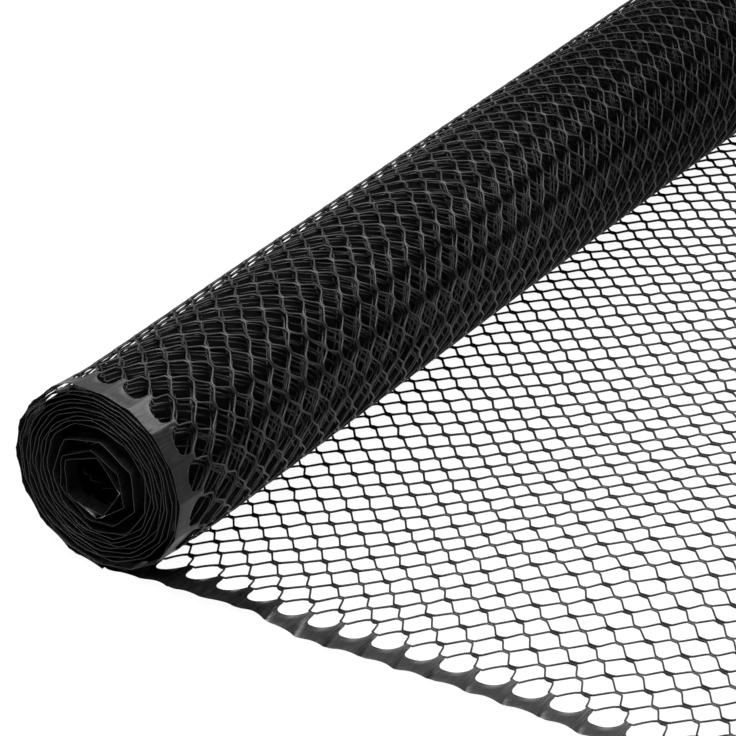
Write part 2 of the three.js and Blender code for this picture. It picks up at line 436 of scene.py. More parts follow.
def floor_height(across, row):
    """Height of the loose end over the floor: the swell, which is a bell both ways, the rise, which
    is a bell along the netting, and the lift, which fades away from the film edges."""
    from_near = from_near_end(across)
    edge = np.exp(-from_edge(across) / EDGE_LIFT_REACH)
    swell = SWELL * bell(from_near, *SWELL_FROM) * bell(row, *SWELL_ROWS)
    rise = (RISE + RISE_MORE * ease((from_near - 520.0) / 280.0)) * bell(row, *RISE_ROWS) * ease(-row)
    lifted = EDGE_LIFT * edge * ease((row + 5.9) / 1.4) * ease(-(row + 0.6) / 1.2)
    return FLOOR_GAP + swell + rise + lifted


def standing_off(across, turn):
    """How far the outermost turn stands off the winding: a slack bell that comes and goes in waves,
    and a film edge that gapes, which fades away from the edge."""
    waves = np.sin(across / 61.0 + 7.0 * turn) * np.sin(across / 143.0)
    slack = bell(turn, *SLACK_TURN) * (0.5 + 0.5 * waves)
    gape = GAPE * ease((0.86 - turn) / 0.2) + GAPE_AT_CORNER * bell(turn, *GAPE_CORNER_TURN)
    return SLACK * slack + gape * np.exp(-from_edge(across) / GAPE_REACH)


def lay(across, row, lift):
    """Puts netting into space, from its distance across, its row, and its lift off the netting's
    middle.

    On the floor the place is the crease under the roll plus the row's length, drawn a little out of
    square. On the roll each row between two creases is a mix of its straight chord and its round arc,
    straighter near the film edges, and the whole section is tapered. Returns the points and the
    directions that lift goes in, away from the roll's axis.
    """
    across, row, lift = np.broadcast_arrays(across, row, lift)
    on_floor = row < 0.0
    moved_across, moved_along = drawn(across, np.minimum(row, 0.0))
    floor_y = AXIS_Y + row * ROW_PITCH + moved_along
    floor_z = floor_height(across, row)

    wound_row = np.clip(row, 0.0, LAST_ROW)
    crease = np.minimum(np.floor(wound_row), LAST_ROW - 1)
    share = (wound_row - crease)[..., None]
    chord = wound_place(crease) * (1.0 - share) + wound_place(crease + 1) * share
    turn = turn_at(wound_row)
    round_at_edge = np.interp(turn, ROUND_TURNS, ROUND_AT_EDGE)
    roundness = blend(round_at_edge, ROUND_IN_MIDDLE, ease(from_edge(across) / ROUND_REACH))
    section = tapered(across, chord + roundness[..., None] * (wound_place(wound_row) - chord))
    angle = between_creases(wound_row, CREASE_ANGLE)
    out = lift + standing_off(across, turn)

    x = across + moved_across
    y = np.where(on_floor, floor_y, section[..., 0] + out * np.cos(angle))
    z = np.where(on_floor, floor_z - lift, section[..., 1] + out * np.sin(angle))
    outward_y = np.where(on_floor, 0.0, np.cos(angle))
    outward_z = np.where(on_floor, -1.0, np.sin(angle))
    points = np.stack([x, y, z], axis=-1)
    outward = np.stack([np.zeros_like(y), outward_y, outward_z], axis=-1)
    return points, outward


# Meshes from arrays


def skin(rings, looped):
    """Faces round rings of points. The rings have the shape (lines, steps, points round, 3):
    four-sided faces join each ring to the next one along its line. A looped line joins its last ring
    to its first one, and any other line is closed by one flat face at each end."""
    lines, steps, around, _ = rings.shape
    number = np.arange(lines * steps * around).reshape(lines, steps, around)
    here, after = (number, np.roll(number, -1, axis=1)) if looped else (number[:, :-1], number[:, 1:])
    beside_here, beside_after = np.roll(here, -1, axis=2), np.roll(after, -1, axis=2)
    sides = np.stack([here, after, beside_after, beside_here], axis=-1).reshape(-1, 4)
    ends = np.concatenate([number[:, 0], number[:, -1, ::-1]])
    caps = np.empty((0, around), dtype=int) if looped else ends
    points = rings.reshape(-1, 3)
    corners = points[sides] - points.mean(axis=0)
    volume = np.einsum("ij,ij->i", corners[:, 0], np.cross(corners[:, 1], corners[:, 2])).sum()
    volume += np.einsum("ij,ij->i", corners[:, 0], np.cross(corners[:, 2], corners[:, 3])).sum()
    if volume < 0:
        sides, caps = sides[:, ::-1], caps[:, ::-1]
    return points, sides, caps


def make_piece(name, skins, finishes, looped=False):
    """Joins closed skins into one mesh piece, each with its own finish. A skin is its rings and
    three numbers for each of their points. Two go into the piece's UV map: the row, and the place
    across or round. The third is its tone: below nought the plastic is dull and dark, mostly as
    painted shade, and above nought it is lighter, from scuffs and from painted highlights and sheen."""
    points, faces, places, finish_numbers = [], [], [], []
    first = 0
    for number, (rings, place) in enumerate(skins):
        skin_points, sides, caps = skin(rings, looped)
        points.append(skin_points)
        faces += (sides + first).tolist() + (caps + first).tolist()
        places.append(place.reshape(-1, 3))
        finish_numbers.append(np.full(len(sides) + len(caps), number))
        first += len(skin_points)
    mesh = bpy.data.meshes.new(name)
    mesh.from_pydata(np.concatenate(points) * MM, [], faces)
    corner_point = np.empty(len(mesh.loops), dtype=np.int32)
    mesh.loops.foreach_get("vertex_index", corner_point)
    layout = mesh.uv_layers.new(name="netting")
    places = np.concatenate(places).astype(np.float32)
    layout.data.foreach_set("uv", places[corner_point, :2].ravel())
    mesh.attributes.new("tone", "FLOAT", "POINT").data.foreach_set("value", places[:, 2])
    mesh.polygons.foreach_set("use_smooth", np.ones(len(mesh.polygons), dtype=bool))
    for finish in finishes:
        mesh.materials.append(finish)
    mesh.polygons.foreach_set("material_index", np.concatenate(finish_numbers))
    mesh.update()
    piece = bpy.data.objects.new(name, mesh)
    bpy.context.scene.collection.objects.link(piece)
    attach(piece, "root")
    return piece


# Strands


def column_places():
    """Distance across of every column of joints, film peaks included: even spacing, with the outer
    columns drawn towards the edge, and the peaks a set distance in."""
    column = np.arange(-1, COLUMNS + 1)
    places = -HALF_WIDTH + FIRST_COLUMN_IN + COLUMN_PITCH * column
    counts = (column, COLUMNS - 1 - column)
    near_draw, far_draw = (np.exp(-EDGE_DRAW_FADE * np.maximum(count, 0)) for count in counts)
    places = places - EDGE_DRAW * near_draw + EDGE_DRAW * far_draw
    places[0] = -HALF_WIDTH + FILM_PEAK_IN[0] - LIGHT_JOINT_APART
    places[-1] = HALF_WIDTH - FILM_PEAK_IN[0] + LIGHT_JOINT_APART
    return places


def column_leads():
    """How many rows a column of joints lags behind the film peaks: nought at the peaks, and settling
    to the full lead of the film a few columns in."""
    column = np.arange(-1, COLUMNS + 1)
    inside = np.minimum(column + 1, COLUMNS - column)
    return ROW_LEAD * (1.0 - np.exp(-inside / ROW_LEAD_COLUMNS))


def on_roll(row):
    """Share of the wound shape in the netting: one on the roll, and eased to nought just in front of
    it."""
    return 1.0 - ease(-row / 1.3)


def wound_out(across, row):
    """How far the strands are moved towards the nearer film edge on the roll, fading away from the
    edges."""
    near, far = (ease((HALF_WIDTH + side * across) / WOUND_OUT_REACH) for side in (1, -1))
    return WOUND_OUT * (near - far) * on_roll(row)


def spur_slant(row):
    """How far in the slanting top of a film spur stands beyond its middle on the floor: a straight
    slope over the spur's length, further in on the side towards the roll."""
    slope = np.clip((row - np.round(row)) / (0.5 - FILM_HOLE_HALF), -1.0, 1.0)
    return SPUR_SLANT * slope * (1.0 - on_roll(row))


def strand_phase(mesh_row):
    """Where the mesh rows lie between joints: the number of the half row, the share of it, how heavy
    the joint is, a cosine wave from nought at light joints to one at heavy ones, and whether the
    strand goes back to the near end as it nears the roll."""
    half_row = 2.0 * mesh_row
    step = np.floor(half_row).astype(int)
    heavy = 0.5 - 0.5 * np.cos(math.pi * half_row)
    return step, half_row - step, heavy, np.mod(step + STRANDS, 2)


def strand_crossing(mesh_row):
    """Share of the way from a strand's own column to the next. A strand runs beside one column for
    the length of a joint, crosses over with eased ends, and runs beside the other column. The
    outermost strands leave the film spurs at a corner, so they ease towards the joints only."""
    swing = 1.0 - np.abs(np.mod(2.0 * mesh_row + STRANDS, 2.0) - 1.0)
    even = STRANDS % 2 == 0
    start = np.where(even, LIGHT_JOINT_LENGTH, HEAVY_JOINT_LENGTH)
    stop = np.where(even, HEAVY_JOINT_LENGTH, LIGHT_JOINT_LENGTH)
    start = np.where(AT_NEAR_FILM, SPUR_TOP_LENGTH, start) / ROW_PITCH
    stop = np.where(AT_FAR_FILM, SPUR_TOP_LENGTH, stop) / ROW_PITCH
    straight = np.clip((swing - start) / (1.0 - start - stop), 0.0, 1.0)
    eased = EASED_BY_ROLL + EASED_MORE * ease((-5.0 - mesh_row) / 4.0)
    crossing = blend(straight, ease(straight), eased)
    crossing = np.where(AT_NEAR_FILM, 1.0 - (1.0 - straight) ** SPUR_POWER, crossing)
    return np.where(AT_FAR_FILM, straight**SPUR_POWER, crossing)


def strand_lines(mesh_row):
    """Middle lines of all strands at the mesh rows given, one line for each strand: distance across,
    and row.

    The two strands at a joint lie side by side and share its shift, so they stay joined. Between the
    joints each strand bows by a parabola, and those that go back to the near end are arched the same
    way too.
    """
    step, share, heavy, back = strand_phase(mesh_row)
    crossing = strand_crossing(mesh_row)
    apart = blend(LIGHT_JOINT_APART, HEAVY_JOINT_APART, heavy)
    places, leads = column_places(), column_leads()
    across = blend(places[STRANDS], places[STRANDS + 1], crossing) + apart * (1.0 - 2.0 * crossing)
    row = mesh_row - blend(leads[STRANDS], leads[STRANDS + 1], crossing)
    slant = spur_slant(mesh_row) * (AT_NEAR_FILM * (1.0 - crossing) - AT_FAR_FILM * crossing)

    here = step - FIRST_HALF_ROW
    shift_here = JOINT_SHIFTS[STRANDS + back, here]
    shift_next = JOINT_SHIFTS[STRANDS + 1 - back, here + 1]
    shift = blend(shift_here, shift_next, ease((share - 0.15) / 0.7)[..., None])
    arched = np.where(row > 0.0, 1.0, np.where(AT_NEAR_FILM, SPUR_ARCHED, FLOOR_ARCHED))
    bow = STRAND_BOWS[STRANDS, here] + STRAND_ARCH * back * arched
    across = across + slant + shift[..., 0] + bow * 4.0 * share * (1.0 - share)
    row = row + shift[..., 1] / ROW_PITCH
    return across + wound_out(across, row), row


def strand_sizes(mesh_row, across, row):
    """Half width, half height and tone of all strands along their lines.

    Strands swell at the joints. On the floor they thicken towards the roll and towards the far end, and
    on the roll they are thinner, the deeper turns most of all. Light joints are lighter, partly from
    scuffing and partly as a painted sheen, and heavy ones are darker as painted shade. Strands on the
    floor just in front of the roll are darker with painted shade of the roll, strands far along the roll
    darker with painted shade, and a band along the roll's front is lighter with a painted sheen.
    """
    _, share, heavy, back = strand_phase(mesh_row)
    on_floor = row < 0.0
    from_near = from_near_end(across)
    pairs = (STRAND_HALF_WIDTH, FAR_STRAND_HALF_WIDTH)
    near_width, far_width = (np.where(back == 0, *pair) for pair in pairs)
    far = np.where(on_floor, ease((from_near - FAR_STRAND_FROM) / FAR_STRAND_OVER), 0.0)
    at_joint = ease((JOINT_REACH - np.minimum(share, 1.0 - share)) / JOINT_FADE)
    joint_width = blend(LIGHT_JOINT_HALF_WIDTH, HEAVY_JOINT_HALF_WIDTH, heavy)
    joint_height = blend(LIGHT_JOINT_HALF_HEIGHT, HEAVY_JOINT_HALF_HEIGHT, heavy)
    half_width = blend(blend(near_width, far_width, far), joint_width, at_joint)
    half_height = blend(STRAND_HALF_HEIGHT, joint_height, at_joint)

    thick = blend(THIN_AT_CUT, THICK_BY_ROLL, ease((row + 10.0) / 7.0))
    thick = thick + THICKER_MIDDLE * bell(row, *THICKER_ROWS)
    thick = thick * np.interp(from_near, THICK_FROM, THICK_ACROSS)
    turn = turn_at(row)
    thick = np.where(on_floor, thick, np.where(turn < 1.0, THIN_ON_ROLL, THIN_BELOW))
    half_height = np.minimum(thick * half_height, FLOOR_GAP - 0.03)

    # Painted light on the roll: a painted sheen in a band along its front, a little below its middle,
    # and painted shade far along it.
    roll_painted_light_and_shade = ROLL_PAINTED_SHEEN_TONE * bell(turn - np.floor(turn), *ROLL_PAINTED_SHEEN_AROUND)
    roll_painted_light_and_shade = roll_painted_light_and_shade + ROLL_FAR_PAINTED_SHADE * ease((from_near - 380.0) / 320.0)
    # Light joints are lighter partly from scuffing and partly as a painted sheen; heavy joints are
    # painted shade. On the floor, painted shade of the roll just in front of it.
    tone = at_joint * blend(LIGHT_JOINT_TONE, HEAVY_JOINT_TONE, heavy)
    tone = tone + np.where(on_floor, -ease((row + 8.0) / 5.0), roll_painted_light_and_shade)
    return thick * half_width, half_height, tone


def settled(across, row):
    """The row at which strands of the deeper turns come to lie. Their joints have settled close to
    those of the outermost turn at the same angle: the odd share of a row between the two is taken
    up, except for the little way round that they are set to lie apart, which comes and goes in
    waves. Under the roll each turn goes over into the next."""
    turn = turn_at(row)
    whole = np.minimum(np.floor(turn).astype(int), len(SETTLED_SHARE) - 1)
    wholes = np.arange(len(SETTLED_SHARE))
    rows_apart = row_at(wholes + SETTLED_AT) - row_at(SETTLED_AT)
    rows_apart = np.round(rows_apart + SETTLED_ROUND) - SETTLED_ROUND
    settled_row = row_at(whole + turn_at(row - rows_apart[whole]))
    around = turn - whole
    share = SETTLED_SHARE[whole] * ease(around / SETTLED_SEAM) * ease((1.0 - around) / SETTLED_SEAM)
    less = SETTLED_LESS * ease((from_near_end(across) - SETTLED_LESS_FROM) / SETTLED_LESS_OVER)
    share = share * (1.0 - less)
    waves = np.sin(across / 31.0 + 2.1 * whole) + np.sin(across / 13.0 - 1.7 * row + 4.0 * whole)
    return blend(row, settled_row + SETTLED_UNEVEN * waves, share)


def strand_rows(first_row, last_row, steps, edge_steps):
    """Mesh rows at which strands are drawn: the same shares of every half row, other shares for the
    two outermost strands, led in from each strand's own first row."""
    first_row = np.broadcast_to(first_row, COLUMNS + 1)[:, None]
    half_row = np.arange(math.floor(2 * first_row.max()), math.ceil(2 * last_row))
    inside, at_edge = (((half_row[:, None] + shares) / 2.0).ravel() for shares in (steps, edge_steps))
    kept = (inside > first_row.max() + 0.02) & (inside < last_row - 0.02)
    rest = np.tile(np.append(inside[kept], last_row), (COLUMNS + 1, 1))
    rest[[0, -1], :-1] = at_edge[kept]
    lead_in = blend(first_row, rest[:, :1], LEAD_IN_STEPS)
    return np.concatenate([lead_in, rest], axis=1)


def strand_skins(first_row, last_row, steps, edge_steps, around):
    """Skins of all strands between two mesh rows, the first of which may differ from strand to
    strand: an oval carried along each strand's line, its width lying in the netting and its height
    square to it."""
    mesh_row = strand_rows(first_row, last_row, steps, edge_steps)
    across, row = strand_lines(mesh_row)
    half_width, half_height, tone = strand_sizes(mesh_row, across, row)
    points, outward = lay(across, settled(across, row), 0.0)
    along = np.gradient(points, axis=1)
    sideways = np.cross(along, outward)
    sideways /= np.linalg.norm(sideways, axis=-1, keepdims=True)
    upright = np.cross(sideways, along)
    upright /= np.linalg.norm(upright, axis=-1, keepdims=True)
    angle = 2 * math.pi * (np.arange(around) + 0.5) / around
    wide = (half_width[..., None] * np.cos(angle))[..., None] * sideways[:, :, None]
    high = (half_height[..., None] * np.sin(angle))[..., None] * upright[:, :, None]
    rings = points[:, :, None] + wide + high
    turned = np.broadcast_to(angle / (2 * math.pi), rings.shape[:-1])
    mesh_row, tone = (np.broadcast_to(value[..., None], turned.shape) for value in (mesh_row, tone))
    return rings, np.stack([mesh_row, turned, tone], axis=-1)


# Film edges


def place_in_hole(row):
    """Place along a hole of the film edge, from minus one to one, and held there over the spurs."""
    return np.clip((row - np.floor(row) - 0.5) / FILM_HOLE_HALF, -1.0, 1.0)


def film_rims(side, row):
    """How far in the outer and the inner rim of a film edge stand.

    The inner rim is a row of holes with slanting spurs between them. A hole is a box rounded by a
    power, and a parabola shifts its deepest place past its middle. Inside the roll the spurs are low.
    The outer rim has one lobe a row, a parabola between two corners. Both rims wander, the inner one
    less.
    """
    on_floor = row < 0.0
    in_hole = place_in_hole(row)
    by_roll = np.where(on_floor, ease((row + 7.5) / 2.5), 0.0)
    skew = blend(*FILM_HOLE_SKEW, by_roll)
    skewed = np.minimum(np.abs(in_hole - skew * (1.0 - in_hole**2)), 1.0)
    power = blend(*FILM_HOLE_POWER, by_roll)
    hole = (1.0 - skewed**power) ** (1.0 / power)
    wander = np.interp(row, FILM_WANDER_ROWS, FILM_WANDER)
    wander = wander + sum(size * bell(row, middle, spread) for size, middle, spread in FILM_WANDER_BELLS)

    sizes = (FILM_RIM_IN, FILM_BOTTOM_IN, FILM_PEAK_IN)
    rim, bottom, peak = (blend(*size, on_roll(row)) for size in sizes)
    covered = ease((turn_at(row) - 0.95) / 0.15)
    bottom = bottom - COVERED_OUT * covered
    peak = blend(peak, bottom + COVERED_SPUR, covered)
    inner = peak + spur_slant(row) * (1.0 - hole) - (peak - bottom) * hole + 0.2 * wander

    lobe_row = row + FILM_LOBE_SHIFT
    to_lobe = np.abs(lobe_row - np.round(lobe_row))
    lobe = FILM_LOBE * np.where(on_floor, 1.0, FILM_LOBE_ON_ROLL) * (1.0 - (1.0 - 2.0 * to_lobe) ** 2)
    uneven = 0.3 * np.sin(2.1 * row + side) + 0.3 * np.sin(0.73 * row)
    return rim + wander + lobe + uneven, inner


def film_ridge(row, share, creased_row):
    """How far the film stands off its middle at a share of the way from the outer rim to the inner
    one: a narrow bell along each crease on a shallow ridge, both dying away inwards, and a fine
    ripple. It stands up from the floor, and less so on the roll."""
    crease = np.round(creased_row)
    to_crease = creased_row - crease
    depth = FILM_CREASE * (0.7 + 0.3 * np.sin(2.3 * crease))
    fold = depth * bell(to_crease, 0.0, FILM_CREASE_HALF)
    ridge = FILM_RIDGE * (1.0 - 2.0 * np.abs(to_crease)) ** 2 + fold
    ripple = 0.12 * np.sin(9.0 * row + 5.0 * share) * (1.0 - share)
    ridge = ridge * (0.35 + 0.65 * (1.0 - share)) + ripple
    return np.where(row < 0.0, -ridge, 0.3 * ridge)


def film_tone(row, share, creased_row):
    """Tone of the film: bells of painted highlight or painted shade along the creases, rims at the holes
    lightened by rubbing and by a painted highlight along their bead, flecked spurs, painted shade in
    front of the roll, painted light and shade given along the roll, a painted highlight along the outer
    rims on the roll, and painted shade on the film inside the roll with painted glints at a few places."""
    on_floor = row < 0.0
    in_hole = place_in_hole(row)
    to_spur = row - np.round(row)
    crease = np.round(creased_row)
    run = 0.8 - 0.3 * ease((-9.0 - row) / 2.0)
    # Painted highlight or painted shade in a narrow bell along each crease.
    crease_light_and_shade = np.interp(crease, FILM_CREASE_LIGHT_ROWS, FILM_CREASE_LIGHT_AND_SHADE) * ease((run - share) / 0.3)
    crease_light_and_shade = crease_light_and_shade * bell(creased_row - crease, -0.01, 0.055 * run / 0.8)

    in_shade = ease((row + 5.6) / 1.2)
    # Rims at the holes: lighter from rubbing and from a painted highlight along the bead, stronger in
    # the roll's shade; the spur flecks are the film's own.
    rubbed_and_highlit = (0.5 + 0.5 * in_shade) * bell(in_hole, -0.45, 0.4) * ease((share - 0.8) / 0.1)
    flecks = 0.5 + 0.5 * np.sin(70.0 * row + 23.0 * share)
    rubbed_and_highlit = rubbed_and_highlit + 0.3 * flecks * bell(to_spur, 0.0, 0.1) * ease((share - 0.4) / 0.3)
    by_rim = bell(in_hole, -0.6, 0.5) * ease((share - 0.45) / 0.3)
    shaded = FILM_SHADE * in_shade * (1.0 - 0.95 * by_rim)
    # Painted light and shade given along the roll's film, plus the lighter rims.
    along_roll = np.interp(row, ROLL_FILM_ROWS, ROLL_FILM_LIGHT_AND_SHADE) + 0.3 * rubbed_and_highlit
    tone = np.where(on_floor, crease_light_and_shade + rubbed_and_highlit - shaded, along_roll)

    # Painted shade on the film inside the roll, with a painted glint on one inner face.
    inside = 6.5 * bell(row, LAST_ROW - 5.68, 0.2) * (share < 0.5) - 1.0
    tone = np.where(row > FIRST_INNER_ROW + 4.0, inside, tone)
    # A faint painted highlight along the outer rims on the roll, with painted glints at two rims inside
    # it.
    painted_rim_glints = 0.2 + 3.0 * bell(row, LAST_ROW - 6.25, 0.1) + 3.0 * bell(row, LAST_ROW - 2.0, 0.08)
    return np.where(on_floor | (share > 0.01), tone, painted_rim_glints)


def film_skin(side, first_row, last_row, steps):
    """Skin of one film edge, at the near side (-1) or the far side (1) of the netting.

    The profile goes from the outer rim to the inner one on the outer face and back on the inner face,
    and swells to a bead at the inner rim. A narrow crease runs from each spur slantwise to a corner of
    the outer rim, so its row is shifted more the nearer it comes to that rim.
    """
    row = (np.arange(math.floor(first_row), math.ceil(last_row))[:, None] + steps).ravel()
    row = row[(row > first_row + 0.01) & (row < last_row - 0.01)]
    row = np.concatenate([[first_row], row, [last_row]])[:, None]
    share = FILM_SHARES
    outer, inner = film_rims(side, row)
    inwards = blend(outer, inner, share)
    half = FILM_HALF_THICKNESS * (0.4 + 0.6 * ease(share / 0.03) - 0.8 * (share == 1.0))
    half = half + RIM_BEAD * bell(share, 0.95, 0.05)
    slanted = np.clip(1.0 - (inwards - outer) / FILM_CREASE_RUN, 0.0, 1.0)
    creased_row = row + FILM_LOBE_SHIFT * slanted
    ridge = film_ridge(row, share, creased_row)
    tone = film_tone(row, share, creased_row)

    across = side * (HALF_WIDTH - inwards)
    row, tone = np.broadcast_to(row, across.shape), np.broadcast_to(tone, across.shape)
    outside, _ = lay(across, row, ridge + half)
    inside, _ = lay(across, row, ridge - half)
    rings = np.concatenate([outside, inside[:, ::-1]], axis=1)[None]
    round_values = [np.concatenate([value, value[:, ::-1]], axis=1) for value in (row, inwards, tone)]
    return rings, np.stack(round_values, axis=-1)


# Finishes


def plain_material(name):
    """A new material with its shader ready, and a function that adds a node to it."""
    material = bpy.data.materials.new(name)
    material.use_nodes = True
    tree = material.node_tree
    shader = tree.nodes["Principled BSDF"]

    def add(kind, **settings):
        node = tree.nodes.new(kind)
        for key, value in settings.items():
            setattr(node, key, value)
        return node

    return material, tree.links, shader, add


def scaled_noise(add, links, coordinates, scale, size, detail):
    """A noise texture read through a mapping that stretches it."""
    mapping = add("ShaderNodeMapping")
    mapping.inputs["Scale"].default_value = scale
    links.new(coordinates, mapping.inputs["Vector"])
    noise = add("ShaderNodeTexNoise")
    noise.inputs["Scale"].default_value = size
    noise.inputs["Detail"].default_value = detail
    links.new(mapping.outputs["Vector"], noise.inputs["Vector"])
    return noise.outputs["Fac"]


def spread(add, links, value, from_range, to_range):
    """Maps a value straight from one range onto another."""
    node = add("ShaderNodeMapRange")
    node.inputs["From Min"].default_value, node.inputs["From Max"].default_value = from_range
    node.inputs["To Min"].default_value, node.inputs["To Max"].default_value = to_range
    links.new(value, node.inputs["Value"])
    return node.outputs["Result"]


# The range that a noise texture mostly keeps within, and the range of tones that shine follows.
NOISE_RANGE = (0.3, 0.7)
TONE_RANGE = (-1.0, 1.0)


def tinted(add, links, value, dark, light):
    """Maps a noise value onto a colour between two greys."""
    ramp = add("ShaderNodeValToRGB")
    for element, position, colour in zip(ramp.color_ramp.elements, NOISE_RANGE, (dark, light)):
        element.position = position
        element.color = (*colour, 1.0)
    links.new(value, ramp.inputs["Fac"])
    return ramp.outputs["Color"]


def toned(add, links, shader, colour, light, shines):
    """Puts a colour into the shader, turned towards a lighter grey where the tone is above nought,
    and a shine that runs from the first given to the second between tones of minus one and one."""
    tone = add("ShaderNodeAttribute", attribute_name="tone").outputs["Fac"]
    lighter = add("ShaderNodeMath", operation="MAXIMUM")
    links.new(tone, lighter.inputs[0])
    lighter.inputs[1].default_value = 0.0
    mix = add("ShaderNodeMix", data_type="RGBA", clamp_factor=False)
    links.new(lighter.outputs[0], mix.inputs[0])
    links.new(colour, mix.inputs[6])
    mix.inputs[7].default_value = (*light, 1.0)
    links.new(mix.outputs[2], shader.inputs["Base Color"])
    links.new(spread(add, links, tone, TONE_RANGE, shines), shader.inputs["Specular IOR Level"])


def bumped(add, links, shader, height, strength, distance):
    """Puts a height into the shader's normal."""
    bump = add("ShaderNodeBump")
    bump.inputs["Strength"].default_value = strength
    bump.inputs["Distance"].default_value = distance
    links.new(height, bump.inputs["Height"])
    links.new(bump.outputs["Normal"], shader.inputs["Normal"])


def strand_plastic(name, dark, light, shines):
    """Black drawn polyethylene: satin, with slow patches of shine and a fine drawn grain."""
    material, links, shader, add = plain_material(name)
    place = add("ShaderNodeTexCoord").outputs["Object"]
    patches = scaled_noise(add, links, place, (1.0, 1.0, 1.0), 55.0, 3.0)
    grain = scaled_noise(add, links, place, (1.0, 0.35, 1.0), 1400.0, 2.0)
    colour = tinted(add, links, patches, dark, light)
    toned(add, links, shader, colour, tuple(8.0 * value for value in light), shines)
    links.new(spread(add, links, patches, NOISE_RANGE, (0.55, 0.42)), shader.inputs["Roughness"])
    bumped(add, links, shader, grain, 0.35, 0.0002)
    return material


def film_plastic():
    """Black film that was never drawn out: fine streaks across it in colour and height, slow clouds
    of duller and shinier film, scuffs and painted highlights where its tone is above nought, and
    painted shade, a duller shine, where it is below."""
    material, links, shader, add = plain_material("film_plastic")
    place = add("ShaderNodeUVMap", uv_map="netting").outputs["UV"]
    streaks = scaled_noise(add, links, place, (6.0, 0.05, 1.0), 1.6, 4.0)
    clouds = scaled_noise(add, links, place, (1.4, 0.12, 1.0), 1.0, 3.0)
    colour = tinted(add, links, streaks, (0.002, 0.002, 0.0021), (0.009, 0.009, 0.0095))
    toned(add, links, shader, colour, (0.16, 0.16, 0.163), (0.04, 0.5))
    links.new(spread(add, links, clouds, NOISE_RANGE, (0.34, 0.50)), shader.inputs["Roughness"])
    bumped(add, links, shader, streaks, 0.5, 0.0006)
    return material


def packed_plastic():
    """The turns deep in the roll: nearly black and dull, partly the black plastic and partly painted
    shade between the packed turns, with one noise in its colour, roughness and height.
    """
    material, links, shader, add = plain_material("packed_plastic")
    place = add("ShaderNodeTexCoord").outputs["Object"]
    depth = scaled_noise(add, links, place, (1.0, 1.0, 1.0), 90.0, 4.0)
    colour = tinted(add, links, depth, (0.0002, 0.0002, 0.0002), (0.0008, 0.0008, 0.0008))
    links.new(colour, shader.inputs["Base Color"])
    links.new(spread(add, links, depth, NOISE_RANGE, (0.85, 0.65)), shader.inputs["Roughness"])
    shader.inputs["Specular IOR Level"].default_value = 0.03
    bumped(add, links, shader, depth, 0.8, 0.001)
    return material


# Pieces


def loose_netting(strand_finish, film_finish):
    """The netting from the cut end to the crease under the roll, with both film edges."""
    leads = column_leads()
    cut_rows = CUT_ROW + CUT_MARGIN + np.maximum(leads[:-1], leads[1:])
    skins = [strand_skins(cut_rows, 0.0, LOOSE_STEPS, LOOSE_EDGE_STEPS, 5)]
    skins += [film_skin(side, CUT_ROW + CUT_MARGIN, 0.0, LOOSE_FILM_STEPS) for side in (-1, 1)]
    piece = make_piece("loose_netting", skins, [strand_finish, film_finish, film_finish])
    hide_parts("loose_end")
    return piece


def wound_strands(name, first_row, last_row, steps, around, finish):
    """Strands of the netting between two rows of the winding."""
    return make_piece(name, [strand_skins(first_row, last_row, steps, steps, around)], [finish])


def packed_turns(finish):
    """The turns that lie behind the open ones: a thick ring, as one closed profile carried round the
    roll's axis. It is thickest low down in front and high up behind, where the turns are pressed
    together."""
    reach = HALF_WIDTH - PACKED_SHORT
    angle = np.linspace(0.0, 2 * math.pi, 97)[:-1, None]
    along = np.linspace(-reach, reach, 41)
    across = np.concatenate([along, along[::-1]])[None, :]

    def pressed(size, middle, width):
        """How far the ring is pressed outwards: a bell about an angle in degrees."""
        return size * bell(angle, math.radians(middle), math.radians(width))

    outer = PACKED_OUTER + sum(pressed(*place) for place in PACKED_PRESSED)
    outer = outer + pressed(*PACKED_END_PRESSED) * np.exp(-(reach - np.abs(across)) / PACKED_END_REACH)
    radius = np.where(np.arange(across.size)[None, :] < along.size, outer, PACKED_INNER)
    section = np.stack([AXIS_Y + radius * np.cos(angle), AXIS_Z + radius * np.sin(angle)], axis=-1)
    across = np.broadcast_to(across, section.shape[:-1])
    rings = np.concatenate([across[..., None], tapered(across, section)], axis=-1)[None]
    place = np.stack([np.broadcast_to(angle, across.shape), across, np.zeros_like(across)], axis=-1)
    return make_piece("packed_turns", [(rings, place)], [finish], looped=True)


def build_netting():
    """Makes every piece of the netting."""
    strand_finish = strand_plastic("strand_plastic", (0.001,) * 3, (0.003,) * 3, (0.18, 0.62))
    # The deeper turns get a darker, duller copy of the strand plastic: painted shade.
    deep_shaded_finish = strand_plastic("deep_strand_plastic_painted_shade", (0.0005,) * 3, (0.0015,) * 3, (0.03, 0.61))
    film_finish, packed_finish = film_plastic(), packed_plastic()
    loose = loose_netting(strand_finish, film_finish)
    turn_rows = [0.0] + [row_at(turn) for turn in range(1, 6)]
    outer = wound_strands("outer_turn", turn_rows[0], turn_rows[1], FINE_STEPS, 5, strand_finish)
    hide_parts("wound_roll")
    wound_strands("second_turn", turn_rows[1], turn_rows[2], PLAIN_STEPS, 4, deep_shaded_finish)
    wound_strands("third_turn", turn_rows[2], turn_rows[3], PLAIN_STEPS, 4, deep_shaded_finish)
    wound_strands("fourth_turn", turn_rows[3], turn_rows[4], COARSE_STEPS, 4, deep_shaded_finish)
    wound_strands("fifth_turn", turn_rows[4], turn_rows[5], COARSE_STEPS, 3, deep_shaded_finish)
    wound_strands("inner_turns", FIRST_INNER_ROW + 3.0, LAST_ROW - 0.05, PLAIN_STEPS, 4, deep_shaded_finish)
    for name, side in (("near_film", -1), ("far_film", 1)):
        make_piece(name, [film_skin(side, 0.0, LAST_ROW, ROLL_FILM_STEPS)], [film_finish])
    packed_turns(packed_finish)


# Floor, light and camera


